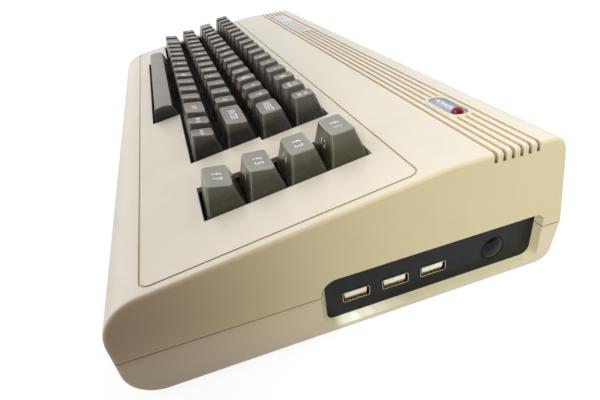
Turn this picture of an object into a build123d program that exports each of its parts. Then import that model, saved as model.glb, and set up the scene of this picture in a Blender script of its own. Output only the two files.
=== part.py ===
"""Home computer in one case with its keyboard: shells, keys, boards, ports and fasteners.

Millimetres. +X is the right-hand side, +Y the rear, +Z up. The origin lies under the middle of the
case, on the table. The keyboard is laid out on the plane of the sloping panel: x runs to the right,
y up the slope from the front face of the case, and z out of the panel.
"""
import os
from math import cos, radians, sin, tan

from build123d import *

# Case
case_width = 404.0
case_depth = 203.0
foot_stand = 2.0
seam_height = 22.9
panel_front_height = 48.2
panel_slope = 8.2
top_height = 68.6
rear_lean = 9.1
rear_tuck = 7.0
nose_radius = 20.0
front_foot_radius = 15.0
crease_radius = 60.0
rear_top_radius = 9.5
rear_ridge_radius = 12.0
rear_foot_radius = 8.0
side_edge_radius = 2.0
inner_edge_radius = 1.0
wall = 2.6
seam_gap = 0.5
seam_gap_depth = 0.8

# Groove round the keyboard and the grooves across the rear top
panel_groove_front = 18.2
panel_groove_length = 114.0
panel_groove_margin = 3.9
panel_groove_radius = 4.5
panel_groove_width = 0.9
panel_groove_depth = 0.5
slot_count = 6
slots_from_rear = 41.45
slot_pitch = 3.97
slot_width = 1.7
slot_depth = 1.6
slot_drop = 4.4
badge_slots = (2, 3, 4)
slot_stop = 0.8
rim_stop = 0.4

# Keyboard
key_pitch = 19.05
block_units = 16
block_margin_left = 15.5
block_margin_right = 83.7
row_shift = 0.25
function_key_margin = 45.2
function_units = 1.5
opening_front = 46.5
key_clearance = 0.6
function_side_clearance = 0.6
space_middle = 7.045
space_units = 9
space_clearance = 0.9
space_front_clearance = 0.4
key_travel = 3.6

# Keycaps, heights above the panel
cap_gap = 0.85
cap_bottom = -3.0
cap_front_inset = 5.0
cap_back_inset = 2.4
cap_side_inset = 4.4
cap_heights = ((11.7, 8.6), (10.9, 8.7), (10.8, 10.3), (12.5, 12.1))
cap_corner_radius = 1.9
cap_rim_radius = 0.75
cap_land = 0.8
cap_wall = 1.4
cap_crown = 2.2
dish_depth = 0.5
space_front_height = 8.2
space_back_height = 7.2
space_front_inset = 4.3
space_back_inset = 2.6
space_crown = 0.9
space_edge_radius = 1.6
space_end_radius = 0.9
space_stem_spread = 60.0
stem_size = 5.6
stem_clearance = 0.25
hook_reach = 0.6
hook_clearance = 0.1
hook_height = 0.8

# Keyboard frame, domes and board, depths under the panel
cap_floor_gap = 3.0
plate_thickness = 3.0
guide_wall = 1.3
guide_rise = 3.0
frame_front = 23.5
frame_length = 111.5
frame_margin_left = 6.5
frame_margin_right = 24.0
well_offset = 1.2
well_wall = 1.4
well_clearance = 0.3
skirt_wall = 2.0
dome_spare = 0.4
dome_radius = 4.6
dome_top_radius = 2.6
dome_wall = 0.6
dome_sheet_thickness = 0.8
dome_sheet_margin = 2.5
board_thickness = 1.6
keyboard_screw_radius = 1.25
keyboard_screw_head_radius = 2.6
keyboard_screw_head_height = 1.9
keyboard_screw_bite = 5.0
keyboard_post_radius = 3.2
keyboard_screw_front = 37.5
keyboard_screw_back = 130.5
keyboard_screw_middle = 85.0
keyboard_screw_margin_left = 37.0
keyboard_screw_margin_right = 72.0
keyboard_screw_front_x = 62.0
keyboard_back_screws_x = (-60.0, 50.0)

# Screws that hold the shells together
case_screw_radius = 1.5
case_screw_head_radius = 2.9
case_screw_head_height = 2.0
case_screw_bite = 10.0
case_boss_radius = 4.5
screw_clearance = 0.1
head_clearance = 0.4
case_screw_seat = 8.0
case_screw_side_inset = 42.0
case_screw_front_inset = 13.5
case_screw_rear_inset = 15.5

# Feet
foot_radius = 8.0
foot_recess = 1.0
foot_clearance = 0.15
foot_side_inset = 52.0
foot_end_inset = 35.5

# Port recess in the right-hand side
recess_depth = 5.2
recess_rear_inset = 10.9
recess_length = 105.55
recess_floor = 3.5
recess_height = 27.05
recess_splay = 3.25
recess_radius = 5.0
recess_front_top_radius = 8.0
recess_front_low_radius = 6.5
recess_inner_top_radius = 4.0
recess_inner_low_radius = 3.0
recess_wall = 2.0
panel_thickness = 2.0
panel_overlap = 1.6
panel_corner_radius = 2.0

# Boards, sockets and switch
board_top = 10.78
usb_width = 13.05
usb_height = 5.6
usb_length = 14.0
usb_metal = 0.35
usb_corner_radius = 0.9
usb_inset = 7.83
usb_pitch = 19.04
usb_count = 3
usb_stand_out = 0.35
usb_fit = 0.1
tongue_height = 3.0
tongue_width = 10.5
tongue_recess = 0.8
tongue_back = 3.0
side_board_margin = 48.0
side_board_inset = 3.0
side_board_length = 92.0
side_board_gap = 0.6
button_radius = 5.9
button_inset = 21.6
button_lift = 3.17
button_stand_out = 1.4
button_clearance = 0.3
button_crown = 1.5
button_edge_radius = 0.7
button_travel = 1.0
flange_radius = 7.4
flange_thickness = 1.4
button_stem_radius = 2.0
button_stem_length = 1.7
flange_clearance = 0.2
plunger_gap = 0.1
switch_size = 6.0
switch_depth = 4.0
plunger_radius = 1.6
plunger_length = 1.2
main_board_left = 15.0
boards_apart = 4.0
main_board_front = 12.0
main_board_gap = 1.0
standoff_radius = 2.6
standoff_inset = 5.0
rear_window_left = 30.0
rear_window_width = 96.0
rear_window_floor = 7.4
rear_window_height = 12.0
rear_flange = 3.0
rear_panel_inset = 7.5
rear_panel_thickness = 1.6
rear_panel_overlap = 2.4
video_width = 15.0
video_x = 52.0
rear_usb_x = 80.0
power_inlet_width = 9.0
power_inlet_height = 3.3
power_inlet_x = 106.0
rear_socket_length = 13.0

# Chips on the main board: x and y on the board, width, depth and height
chip_sizes = (
    (42.0, 36.0, 15.0, 15.0, 1.4),
    (68.0, 42.0, 12.0, 9.0, 1.1),
    (68.0, 28.0, 12.0, 18.0, 1.0),
    (96.0, 50.0, 6.0, 6.0, 1.0),
    (110.0, 44.0, 8.0, 8.0, 7.5),
)
heat_sink_size = 20.0
heat_sink_base = 1.5
fin_count = 7
fin_width = 1.2
fin_height = 6.0

# Badges and power lamp
power_badge_margin = 51.8
power_badge_length = 28.9
power_badge_width = 12.8
rim_width = 1.5
rim_height = 0.6
rim_edge_radius = 0.5
badge_seat = 1.0
badge_thickness = 0.8
badge_clearance = 0.1
lamp_offset = 8.2
lamp_radius = 2.8
lamp_clearance = 0.1
lamp_stand_out = 2.15
lamp_flange_radius = 3.6
lamp_flange_thickness = 1.0
lamp_body = 5.0
lamp_head_radius = 2.3
name_badge_margin = 31.0
name_badge_length = 99.0
name_badge_width = 9.6
name_badge_seat = 0.7
name_badge_stand_out = 0.3
name_badge_radius = 1.2

# Cables
ribbon_thickness = 0.6
ribbon_x = 35.0
ribbon_width = 24.0
ribbon_bend_radius = 4.0
ribbon_sway = 7.0
ribbon_straight = 9.0
ribbon_start = 115.0
plug_height = 4.0
plug_depth = 5.0
harness_y = 40.0
harness_width = 10.0
harness_rise = 7.0
harness_reach = 8.0
lamp_cable_width = 3.0

# Derived places
bottom = foot_stand
seam = bottom + seam_height
top = bottom + top_height
half_width = case_width / 2
rear = case_depth / 2
front = -rear
slope_sin = sin(radians(panel_slope))
slope_cos = cos(radians(panel_slope))
panel = Plane(
    origin=(0, front, bottom + panel_front_height),
    x_dir=(1, 0, 0),
    z_dir=(0, -slope_sin, slope_cos),
)
unit_width = (case_width - block_margin_left - block_margin_right) / block_units
block_left = block_margin_left - half_width
function_key_x = half_width - function_key_margin
space_x = block_left + space_middle * unit_width
opening_back = opening_front + 4 * key_pitch + 2 * key_clearance
frame_left = frame_margin_left - half_width
frame_right = half_width - frame_margin_right
slot_centres = [rear - slots_from_rear + slot_pitch * number for number in range(slot_count)]
badge_y = (slot_centres[badge_slots[0]] + slot_centres[badge_slots[-1]]) / 2
power_badge_x = half_width - power_badge_margin
lamp_x = power_badge_x + lamp_offset
name_badge_left = name_badge_margin - half_width
plate_depth = key_travel + cap_floor_gap - cap_bottom
dome_height = key_travel + dome_spare
frame_floor = -(plate_depth + plate_thickness)
stem_bottom = frame_floor - hook_clearance - hook_height
matrix_top = stem_bottom - dome_height - dome_sheet_thickness
matrix_bottom = matrix_top - board_thickness
port_face = half_width - recess_depth
recess_rear = rear - recess_rear_inset
recess_front = recess_rear - recess_length
boards_z = bottom + board_top
button_y = recess_rear - button_inset
button_z = boards_z + button_lift
flange_back = port_face - panel_thickness - flange_clearance - flange_thickness
side_board_left = half_width - side_board_margin
side_board_right = flange_back - button_travel - side_board_gap
side_board_front = recess_front + side_board_inset
main_board_right = side_board_left - boards_apart
rear_panel_y = rear - rear_panel_inset
floor_z = bottom + wall

# Key nodes of each row from the front, left to right, with the width of each key in units
key_rows = (
    (
        ("key_command", (1,)),
        ("key_left_shift", (1.5,)),
        ("keys_z_x", (1, 1)),
        ("keys_c_v", (1, 1)),
        ("keys_b_n", (1, 1)),
        ("keys_m_comma", (1, 1)),
        ("keys_dot_slash", (1, 1)),
        ("key_right_shift", (1.5,)),
        ("keys_cursor", (1, 1)),
    ),
    (
        ("key_stop", (1,)),
        ("key_shift_lock", (1,)),
        ("keys_a_s", (1, 1)),
        ("keys_d_f", (1, 1)),
        ("keys_g_h", (1, 1)),
        ("keys_j_k", (1, 1)),
        ("keys_l_colon", (1, 1)),
        ("keys_semicolon_equals", (1, 1)),
        ("key_return", (2,)),
    ),
    (
        ("key_control", (1.5,)),
        ("keys_q_w", (1, 1)),
        ("keys_e_r", (1, 1)),
        ("keys_t_y", (1, 1)),
        ("keys_u_i", (1, 1)),
        ("keys_o_p", (1, 1)),
        ("keys_at_star_up", (1, 1, 1)),
        ("key_reset", (1.5,)),
    ),
    (
        ("keys_back_1", (1, 1)),
        ("keys_2_3", (1, 1)),
        ("keys_4_5", (1, 1)),
        ("keys_6_7", (1, 1)),
        ("keys_8_9", (1, 1)),
        ("keys_0_plus", (1, 1)),
        ("keys_minus_hash", (1, 1)),
        ("keys_home_delete", (1, 1)),
    ),
)
function_key_names = ("key_f7", "key_f5", "key_f3", "key_f1")


def row_left(row):
    """Left edge of a row of the main block: the two front rows are set off to the left."""
    return block_left - (row_shift * unit_width if row < 2 else 0)


def row_centre(row):
    """Distance up the panel to the middle of a row."""
    return opening_front + key_clearance + (row + 0.5) * key_pitch


def lay_out_keys():
    """Node name -> list of (x, distance up the panel, row, width in units)."""
    keys = {}
    for row, names in enumerate(key_rows):
        x = row_left(row)
        for name, widths in names:
            keys[name] = []
            for units in widths:
                keys[name].append((x + units * unit_width / 2, row_centre(row), row, units))
                x += units * unit_width
    for row, name in enumerate(function_key_names):
        keys[name] = [(function_key_x, row_centre(row), row, function_units)]
    return keys


typing_keys = lay_out_keys()
space_y = row_centre(-1)
dome_places = [(x, y) for places in typing_keys.values() for x, y, row, units in places]
dome_places.append((space_x, space_y))
stem_places = dome_places + [(space_x + side * space_stem_spread, space_y) for side in (-1, 1)]
screw_left = keyboard_screw_margin_left - half_width
screw_right = half_width - keyboard_screw_margin_right
screw_places = [(x, keyboard_screw_front) for x in (screw_left, keyboard_screw_front_x, screw_right)]
screw_places += [(screw_right, keyboard_screw_middle)]
screw_places += [(x, keyboard_screw_back) for x in (screw_left, *keyboard_back_screws_x, screw_right)]
case_screw_places = [
    (side * (half_width - case_screw_side_inset), y)
    for side in (-1, 0, 1)
    for y in (front + case_screw_front_inset, rear - case_screw_rear_inset)
]
foot_places = [
    (side * (half_width - foot_side_inset), end * (rear - foot_end_inset))
    for side in (-1, 1)
    for end in (-1, 1)
]


def save(piece, name):
    """Label a finished piece and write its file."""
    piece.part.label = name
    export_step(piece.part, f"parts/{name}.step")


def rectangle_between(left, right, low, high, mode=Mode.ADD):
    """Rectangle in the sketch, given by its edges."""
    with Locations(((left + right) / 2, (low + high) / 2)):
        Rectangle(right - left, high - low, mode=mode)


def panel_point(x, y, height):
    """Place of a point that is given on the panel plane and above it."""
    return (
        x,
        front + y * slope_cos - height * slope_sin,
        bottom + panel_front_height + y * slope_sin + height * slope_cos,
    )


# ---------------------------------------------------------------- case


def side_profile(inset, x):
    """Outline of the case seen from the side, set in by a wall, on the plane at x."""
    ridge_half = radians((rear_lean + rear_tuck) / 2)
    ridge_tilt = radians((rear_lean - rear_tuck) / 2)
    ridge = rear + rear_ridge_radius * (cos(ridge_tilt) / cos(ridge_half) - 1)
    crease = front + (top_height - panel_front_height) / tan(radians(panel_slope))
    rear_top = ridge - (top - seam) * tan(radians(rear_lean))
    rear_foot = ridge - seam_height * tan(radians(rear_tuck))
    with BuildSketch(Plane.YZ.offset(x)) as profile:
        with BuildLine():
            FilletPolyline(
                (front, bottom),
                (front, bottom + panel_front_height),
                (crease, top),
                (rear_top, top),
                (ridge, seam),
                (rear_foot, bottom),
                radius=[
                    front_foot_radius,
                    nose_radius,
                    crease_radius,
                    rear_top_radius,
                    rear_ridge_radius,
                    rear_foot_radius,
                ],
                close=True,
            )
        make_face()
        if inset:
            offset(amount=-inset)
    return profile.sketch


def solid_case():
    """The case as one block, with its rounded side edges."""
    with BuildPart() as block:
        extrude(side_profile(0, -half_width), amount=case_width)
        ends = block.faces().filter_by(Axis.X)
        fillet(ends.edges(), side_edge_radius)
    return block.part


def recess_outline(plane, front, grow, top_radius, low_radius):
    """Outline of the port recess on a plane, with rounder corners at its front end."""
    low = bottom + recess_floor - grow
    high = bottom + recess_floor + recess_height + grow
    with BuildSketch(plane) as outline:
        with BuildLine():
            FilletPolyline(
                (front, low),
                (recess_rear + grow, low),
                (recess_rear + grow, high),
                (front, high),
                radius=(
                    low_radius + grow,
                    recess_radius + grow,
                    recess_radius + grow,
                    top_radius + grow,
                ),
                close=True,
            )
        make_face()
    return outline.sketch


def port_pocket(grow):
    """Space of the port recess: rounded seen from the side, its front wall splayed outwards."""
    inner = recess_outline(
        Plane.YZ.offset(port_face),
        recess_front - grow,
        grow,
        recess_inner_top_radius,
        recess_inner_low_radius,
    )
    outer = recess_outline(
        Plane.YZ.offset(half_width),
        recess_front - recess_splay - grow,
        grow,
        recess_front_top_radius,
        recess_front_low_radius,
    )
    with BuildPart() as pocket:
        loft([inner, outer], ruled=True)
        extrude(outer, amount=2 * wall)
    return pocket.part


def case_walls(block):
    """The hollow case with the walls of the port recess, before it is parted at the seam."""
    with BuildPart() as recess_walls:
        add(port_pocket(recess_wall))
        add(block, mode=Mode.INTERSECT)
    with BuildPart() as cavity:
        extrude(side_profile(wall, wall - half_width), amount=case_width - 2 * wall)
        fillet(cavity.faces().filter_by(Axis.X).edges(), inner_edge_radius)
    with BuildPart() as walls:
        add(block)
        add(cavity.part, mode=Mode.SUBTRACT)
        add(recess_walls.part)
        add(port_pocket(0), mode=Mode.SUBTRACT)
    return walls.part


def key_openings(grow, mode=Mode.ADD):
    """Outlines of the key openings on the sketch plane: main block, space bar and function keys."""
    middle = row_centre(2) - key_pitch / 2
    side = key_clearance + grow
    block = block_units * unit_width
    for row, low, high in ((0, opening_front, middle), (2, middle, opening_back)):
        left = row_left(row)
        rectangle_between(left - side, left + block + side, low - grow, high + grow, mode)
    half_space = space_units * unit_width / 2 + space_clearance + grow
    space_front = row_centre(-1) - key_pitch / 2 - space_front_clearance
    left, right = space_x - half_space, space_x + half_space
    rectangle_between(left, right, space_front - grow, opening_front + grow, mode)
    half_function = function_units * unit_width / 2 + function_side_clearance + grow
    left, right = function_key_x - half_function, function_key_x + half_function
    rectangle_between(left, right, opening_front - grow, opening_back + grow, mode)


def name_badge_gap():
    """Stretch along x where the middle grooves stop for the name badge."""
    return name_badge_left - slot_stop, name_badge_left + name_badge_length + slot_stop


def slot_cutter():
    """Grooves over the rear top that run down both sides."""
    above = top + 2 * wall
    outside = half_width + 2 * wall
    core_height = top - slot_depth
    with BuildPart() as cutter:
        for number, y in enumerate(slot_centres):
            with BuildSketch(Plane.XZ.offset(-y)):
                rectangle_between(-outside, outside, top - slot_drop, above)
                with Locations((0, core_height / 2)):
                    RectangleRounded(
                        case_width - 2 * slot_depth,
                        core_height,
                        side_edge_radius - slot_depth,
                        mode=Mode.SUBTRACT,
                    )
                if number in badge_slots:
                    rectangle_between(*name_badge_gap(), top - slot_drop, above, Mode.SUBTRACT)
            extrude(amount=slot_width / 2, both=True)
        with BuildSketch(Plane.XY.offset(top - slot_drop)):
            with Locations((power_badge_x, badge_y)):
                SlotOverall(power_badge_length + 2 * rim_stop, power_badge_width + 2 * rim_stop)
        extrude(amount=above - top + slot_drop, mode=Mode.SUBTRACT)
    return cutter.part


def case_bosses(low, high, block):
    """Round bosses for the case screws between two heights, kept inside the case."""
    with BuildPart() as bosses:
        with BuildSketch(Plane.XY.offset(low)):
            with Locations(case_screw_places):
                Circle(case_boss_radius)
        extrude(amount=high - low)
        add(block, mode=Mode.INTERSECT)
    return bosses.part


def upper_shell(block, walls):
    """Upper half of the case, with the keyboard panel."""
    groove_width = case_width - 2 * panel_groove_margin
    groove_middle = panel_groove_front + panel_groove_length / 2
    with BuildPart() as shell:
        add(walls)
        split(bisect_by=Plane.XY.offset(seam), keep=Keep.TOP)
        add(case_bosses(seam, top, block))
        with BuildSketch(panel.offset(-plate_depth)):
            with Locations(screw_places):
                Circle(keyboard_post_radius)
        extrude(amount=plate_depth - wall / 2)
        with BuildSketch(panel.offset(-plate_depth)):
            with Locations(screw_places):
                Circle(keyboard_screw_radius + screw_clearance)
        extrude(amount=keyboard_screw_bite + screw_clearance, mode=Mode.SUBTRACT)
        with BuildSketch(Plane.XY.offset(seam)):
            with Locations(case_screw_places):
                Circle(case_screw_radius + screw_clearance)
        extrude(amount=case_screw_bite + screw_clearance, mode=Mode.SUBTRACT)
        with BuildSketch(panel.offset(-2 * wall)):
            key_openings(0)
        extrude(amount=4 * wall, mode=Mode.SUBTRACT)
        with BuildSketch(panel.offset(-panel_groove_depth)):
            with Locations((0, groove_middle)):
                RectangleRounded(groove_width, panel_groove_length, panel_groove_radius)
                RectangleRounded(
                    groove_width - 2 * panel_groove_width,
                    panel_groove_length - 2 * panel_groove_width,
                    panel_groove_radius - panel_groove_width,
                    mode=Mode.SUBTRACT,
                )
        extrude(amount=2 * wall, mode=Mode.SUBTRACT)
        add(slot_cutter(), mode=Mode.SUBTRACT)
        with BuildSketch(Plane.XY.offset(top - badge_seat)):
            with Locations((power_badge_x, badge_y)):
                SlotOverall(power_badge_length, power_badge_width)
        extrude(amount=badge_seat + rim_height)
        with BuildSketch(Plane.XY.offset(top - badge_seat)):
            with Locations((power_badge_x, badge_y)):
                SlotOverall(power_badge_length - 2 * rim_width, power_badge_width - 2 * rim_width)
        extrude(amount=2 * badge_seat, mode=Mode.SUBTRACT)
        fillet(shell.faces().sort_by(Axis.Z)[-1].edges(), rim_edge_radius)
        with BuildSketch(Plane.XY.offset(top)):
            with Locations((lamp_x, badge_y)):
                Circle(lamp_radius + lamp_clearance)
        extrude(amount=2 * wall, both=True, mode=Mode.SUBTRACT)
        with BuildSketch(Plane.XY.offset(top - name_badge_seat)):
            with Locations((name_badge_left + name_badge_length / 2, badge_y)):
                RectangleRounded(name_badge_length, name_badge_width, name_badge_radius)
        extrude(amount=wall, mode=Mode.SUBTRACT)
    return shell


def board_standoffs():
    """Posts on the floor that carry the main board and the side board."""
    left, right = main_board_left + standoff_inset, main_board_right - standoff_inset
    rear_row = rear_panel_y - rear_panel_thickness - usb_length - standoff_inset
    side_right = side_board_right - standoff_inset
    side_rear = side_board_front + side_board_length - standoff_inset
    places = [(x, y) for x in (left, right) for y in (main_board_front + standoff_inset, rear_row)]
    places += [
        (x, y)
        for x in (side_board_left + standoff_inset, side_right)
        for y in (side_board_front + standoff_inset, side_rear)
    ]
    with BuildPart() as posts:
        with BuildSketch(Plane.XY.offset(floor_z - wall / 2)):
            with Locations(places):
                Circle(standoff_radius)
        extrude(amount=boards_z - board_thickness - floor_z + wall / 2)
    return posts.part


def lower_shell(block, walls):
    """Lower half of the case, with the standoffs and the rear window."""
    with BuildPart() as rear_flange_block:
        with BuildSketch(Plane.XY.offset(floor_z - wall / 2)):
            rectangle_between(
                rear_window_left - rear_flange,
                rear_window_left + rear_window_width + rear_flange,
                rear_panel_y,
                rear,
            )
        extrude(amount=seam - floor_z + wall / 2)
        add(block, mode=Mode.INTERSECT)
    with BuildPart() as shell:
        add(walls)
        split(bisect_by=Plane.XY.offset(seam), keep=Keep.BOTTOM)
        add(case_bosses(floor_z - wall / 2, seam, block))
        add(rear_flange_block.part)
        add(board_standoffs())
        with BuildSketch(Plane.XY.offset(seam - seam_gap)):
            Rectangle(case_width + wall, case_depth + wall)
            RectangleRounded(
                case_width - 2 * seam_gap_depth,
                case_depth - 2 * seam_gap_depth,
                side_edge_radius - seam_gap_depth,
                mode=Mode.SUBTRACT,
            )
        extrude(amount=wall, mode=Mode.SUBTRACT)
        with BuildSketch(Plane.XY.offset(seam)):
            with Locations(case_screw_places):
                Circle(case_screw_radius + screw_clearance)
        extrude(amount=-seam, mode=Mode.SUBTRACT)
        with BuildSketch(Plane.XY):
            with Locations(case_screw_places):
                Circle(case_screw_head_radius + head_clearance)
        extrude(amount=bottom + case_screw_seat, mode=Mode.SUBTRACT)
        with BuildSketch(Plane.XY.offset(bottom + foot_recess)):
            with Locations(foot_places):
                Circle(foot_radius + foot_clearance)
        extrude(amount=-bottom - foot_recess, mode=Mode.SUBTRACT)
        with BuildSketch(Plane.XZ.offset(-rear_panel_y)):
            rectangle_between(
                rear_window_left,
                rear_window_left + rear_window_width,
                bottom + rear_window_floor,
                bottom + rear_window_floor + rear_window_height,
            )
        extrude(amount=-2 * case_depth, mode=Mode.SUBTRACT)
    return shell


def rubber_feet():
    """Four round feet, each let into the bottom."""
    with BuildPart() as feet:
        with BuildSketch(Plane.XY):
            with Locations(foot_places):
                Circle(foot_radius)
        extrude(amount=bottom + foot_recess)
    return feet


# ---------------------------------------------------------------- keyboard


def cap_block(width, depth, front_top, back_top, inset):
    """Keycap body between four sloping faces, set in by a wall on every side but the bottom."""
    low = cap_bottom
    tall = max(front_top, back_top)
    with BuildPart() as cap:
        with BuildSketch(Plane.YZ):
            with BuildLine():
                Polyline(
                    (-depth / 2 + inset, low),
                    (-depth / 2 + cap_front_inset + inset, front_top),
                    (depth / 2 - cap_back_inset - inset, back_top),
                    (depth / 2 - inset, low),
                    close=True,
                )
            make_face()
        extrude(amount=width / 2, both=True)
        with BuildSketch(Plane.XZ):
            with BuildLine():
                Polyline(
                    (-width / 2 + inset, low),
                    (-width / 2 + cap_side_inset + inset, tall),
                    (width / 2 - cap_side_inset - inset, tall),
                    (width / 2 - inset, low),
                    close=True,
                )
            make_face()
        extrude(amount=depth, both=True, mode=Mode.INTERSECT)
    return cap.part


def stems(places, height):
    """Square stems up to a height, with snap hooks that catch under the keyboard frame."""
    with BuildPart() as posts:
        with BuildSketch(Plane.XY.offset(stem_bottom)):
            with Locations(places):
                Rectangle(stem_size, stem_size)
        extrude(amount=height - stem_bottom)
        with BuildSketch(Plane.XY.offset(stem_bottom)):
            with Locations(places):
                Rectangle(stem_size + 2 * hook_reach, stem_size / 2)
        extrude(amount=hook_height)
    return posts.part


def keycap(row, units):
    """Hollow keycap with a dished top and its stem, centred on its cell at panel height."""
    width = units * unit_width - cap_gap
    depth = key_pitch - cap_gap
    front_top, back_top = cap_heights[row]
    top_depth = depth - cap_front_inset - cap_back_inset
    tilt = (back_top - front_top) / top_depth
    length = (1 + tilt**2) ** 0.5
    chord = width - 2 * (cap_side_inset + cap_land)
    dish_radius = (chord**2 / 4 + dish_depth**2) / (2 * dish_depth)
    middle = (cap_front_inset - cap_back_inset) / 2
    dish_plane = Plane(
        origin=(0, middle, (front_top + back_top) / 2),
        x_dir=(1, 0, 0),
        z_dir=(0, -1 / length, -tilt / length),
    )
    with BuildPart() as cap:
        add(cap_block(width, depth, front_top, back_top, 0))
        corners = cap.edges().filter_by(lambda edge: edge.bounding_box().size.Z > key_pitch / 3)
        fillet(corners, cap_corner_radius)
        crown = cap.faces().sort_by(Axis.Z)[-1]
        fillet(crown.edges(), cap_rim_radius)
        with BuildSketch(dish_plane):
            with Locations((0, dish_radius - dish_depth)):
                Circle(dish_radius)
        extrude(amount=key_pitch, both=True, mode=Mode.SUBTRACT)
        hollow = cap_block(width, depth, front_top - cap_crown, back_top - cap_crown, cap_wall)
        add(hollow, mode=Mode.SUBTRACT)
        add(stems([(0, 0)], min(front_top, back_top) - cap_crown / 2))
    return cap.part


def space_profile(inset):
    """Side view of the space bar, set in by a wall: leaning faces under a crowned top."""
    half = (key_pitch - cap_gap) / 2 - inset
    front = (-half + space_front_inset, space_front_height - inset)
    back = (half - space_back_inset, space_back_height - inset)
    middle = ((front[0] + back[0]) / 2, (front[1] + back[1]) / 2 + space_crown)
    with BuildSketch(Plane.YZ) as profile:
        with BuildLine():
            Polyline(front, (-half, cap_bottom), (half, cap_bottom), back)
            ThreePointArc(back, middle, front)
        make_face()
        if inset == 0:
            corners = profile.vertices().filter_by(lambda corner: corner.Z > 0)
            fillet(corners, space_edge_radius)
    return profile.sketch


def space_bar():
    """Long crowned bar on three stems."""
    width = space_units * unit_width - cap_gap
    with BuildPart() as bar:
        extrude(space_profile(0), amount=width / 2, both=True)
        ends = bar.faces().filter_by(Axis.X)
        rounded = ends.edges().filter_by(lambda edge: edge.center().Z > space_back_height / 2)
        fillet(rounded, space_end_radius)
        extrude(space_profile(cap_wall), amount=width / 2 - cap_wall, both=True, mode=Mode.SUBTRACT)
        places = [(0, 0), (-space_stem_spread, 0), (space_stem_spread, 0)]
        top = (space_front_height + space_back_height) / 2 + space_crown
        add(stems(places, top - cap_wall / 2))
    return bar.part


def key_nodes():
    """One piece for each key node, its caps standing on the panel plane."""
    shapes = {}
    for places in typing_keys.values():
        for x, y, row, units in places:
            if (row, units) not in shapes:
                shapes[row, units] = keycap(row, units)
    nodes = {}
    for name, places in typing_keys.items():
        with BuildPart(panel) as node:
            for x, y, row, units in places:
                with Locations((x, y)):
                    add(shapes[row, units])
        nodes[name] = node
    with BuildPart(panel) as space:
        with Locations((space_x, space_y)):
            add(space_bar())
    nodes["key_space"] = space
    return nodes


def frame_outline(inset, mode=Mode.ADD):
    """Outer edge of the keyboard frame on the sketch plane."""
    left, right = frame_left + inset, frame_right - inset
    low, high = frame_front + inset, frame_front + frame_length - inset
    rectangle_between(left, right, low, high, mode)


def keyboard_frame():
    """Plate with a guide for each stem, a well up to the panel and a skirt down to the board."""
    hole = stem_size + 2 * stem_clearance
    guide = hole + 2 * guide_wall
    with BuildPart() as frame:
        with BuildSketch(panel.offset(frame_floor)):
            frame_outline(0)
        extrude(amount=plate_thickness)
        with BuildSketch(panel.offset(-plate_depth)):
            with Locations(stem_places):
                Rectangle(guide, guide)
        extrude(amount=guide_rise)
        with BuildSketch(panel.offset(-plate_depth)):
            key_openings(well_offset + well_wall)
            key_openings(well_offset, Mode.SUBTRACT)
        extrude(amount=plate_depth - wall - well_clearance)
        with BuildSketch(panel.offset(matrix_top)):
            frame_outline(0)
            frame_outline(skirt_wall, Mode.SUBTRACT)
            with Locations(screw_places):
                Circle(keyboard_post_radius)
        extrude(amount=frame_floor - matrix_top)
        with BuildSketch(panel.offset(matrix_top)):
            with Locations(screw_places):
                Circle(keyboard_screw_radius + screw_clearance)
        extrude(amount=plate_depth, mode=Mode.SUBTRACT)
        with BuildSketch(panel.offset(frame_floor)):
            with Locations(stem_places):
                Rectangle(hole, hole)
        extrude(amount=plate_depth, mode=Mode.SUBTRACT)
    return frame


def key_matrix_board():
    """Board under the domes, screwed up against the skirt of the frame."""
    with BuildPart() as board:
        with BuildSketch(panel.offset(matrix_bottom)):
            frame_outline(0)
            with Locations(screw_places):
                Circle(keyboard_screw_radius + screw_clearance, mode=Mode.SUBTRACT)
        extrude(amount=board_thickness)
    return board


def dome():
    """One hollow rubber dome standing on its sheet, at the height where a stem meets it."""
    low = matrix_top + dome_sheet_thickness
    with BuildPart() as shape:
        with BuildSketch(Plane.XZ):
            with BuildLine():
                Polyline(
                    (0, stem_bottom),
                    (dome_top_radius, stem_bottom),
                    (dome_radius, low),
                    (dome_radius, matrix_top),
                    (0, matrix_top),
                    close=True,
                )
            make_face()
            with BuildLine():
                Polyline(
                    (0, stem_bottom - 2 * dome_wall),
                    (dome_top_radius - dome_wall, stem_bottom - 2 * dome_wall),
                    (dome_radius - dome_wall, low),
                    (dome_radius - dome_wall, matrix_top),
                    (0, matrix_top),
                    close=True,
                )
            make_face(mode=Mode.SUBTRACT)
        revolve(axis=Axis.Z)
    return shape.part


def dome_sheet():
    """Rubber sheet with a dome under each stem of the typing keys and one under the space bar."""
    one_dome = dome()
    margin = skirt_wall + dome_sheet_margin
    with BuildPart(panel) as sheet:
        with BuildSketch(panel.offset(matrix_top)):
            frame_outline(margin)
            with Locations(dome_places):
                Circle(dome_radius - dome_wall / 2, mode=Mode.SUBTRACT)
            with Locations(screw_places):
                Circle(keyboard_post_radius + dome_sheet_margin / 2, mode=Mode.SUBTRACT)
        extrude(amount=dome_sheet_thickness)
        with Locations(dome_places):
            add(one_dome)
    return sheet


# ---------------------------------------------------------------- side ports


def usb_centres():
    """Middle of each side socket along y."""
    first = recess_front + usb_inset + usb_width / 2
    return [first + usb_pitch * number for number in range(usb_count)]


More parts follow.
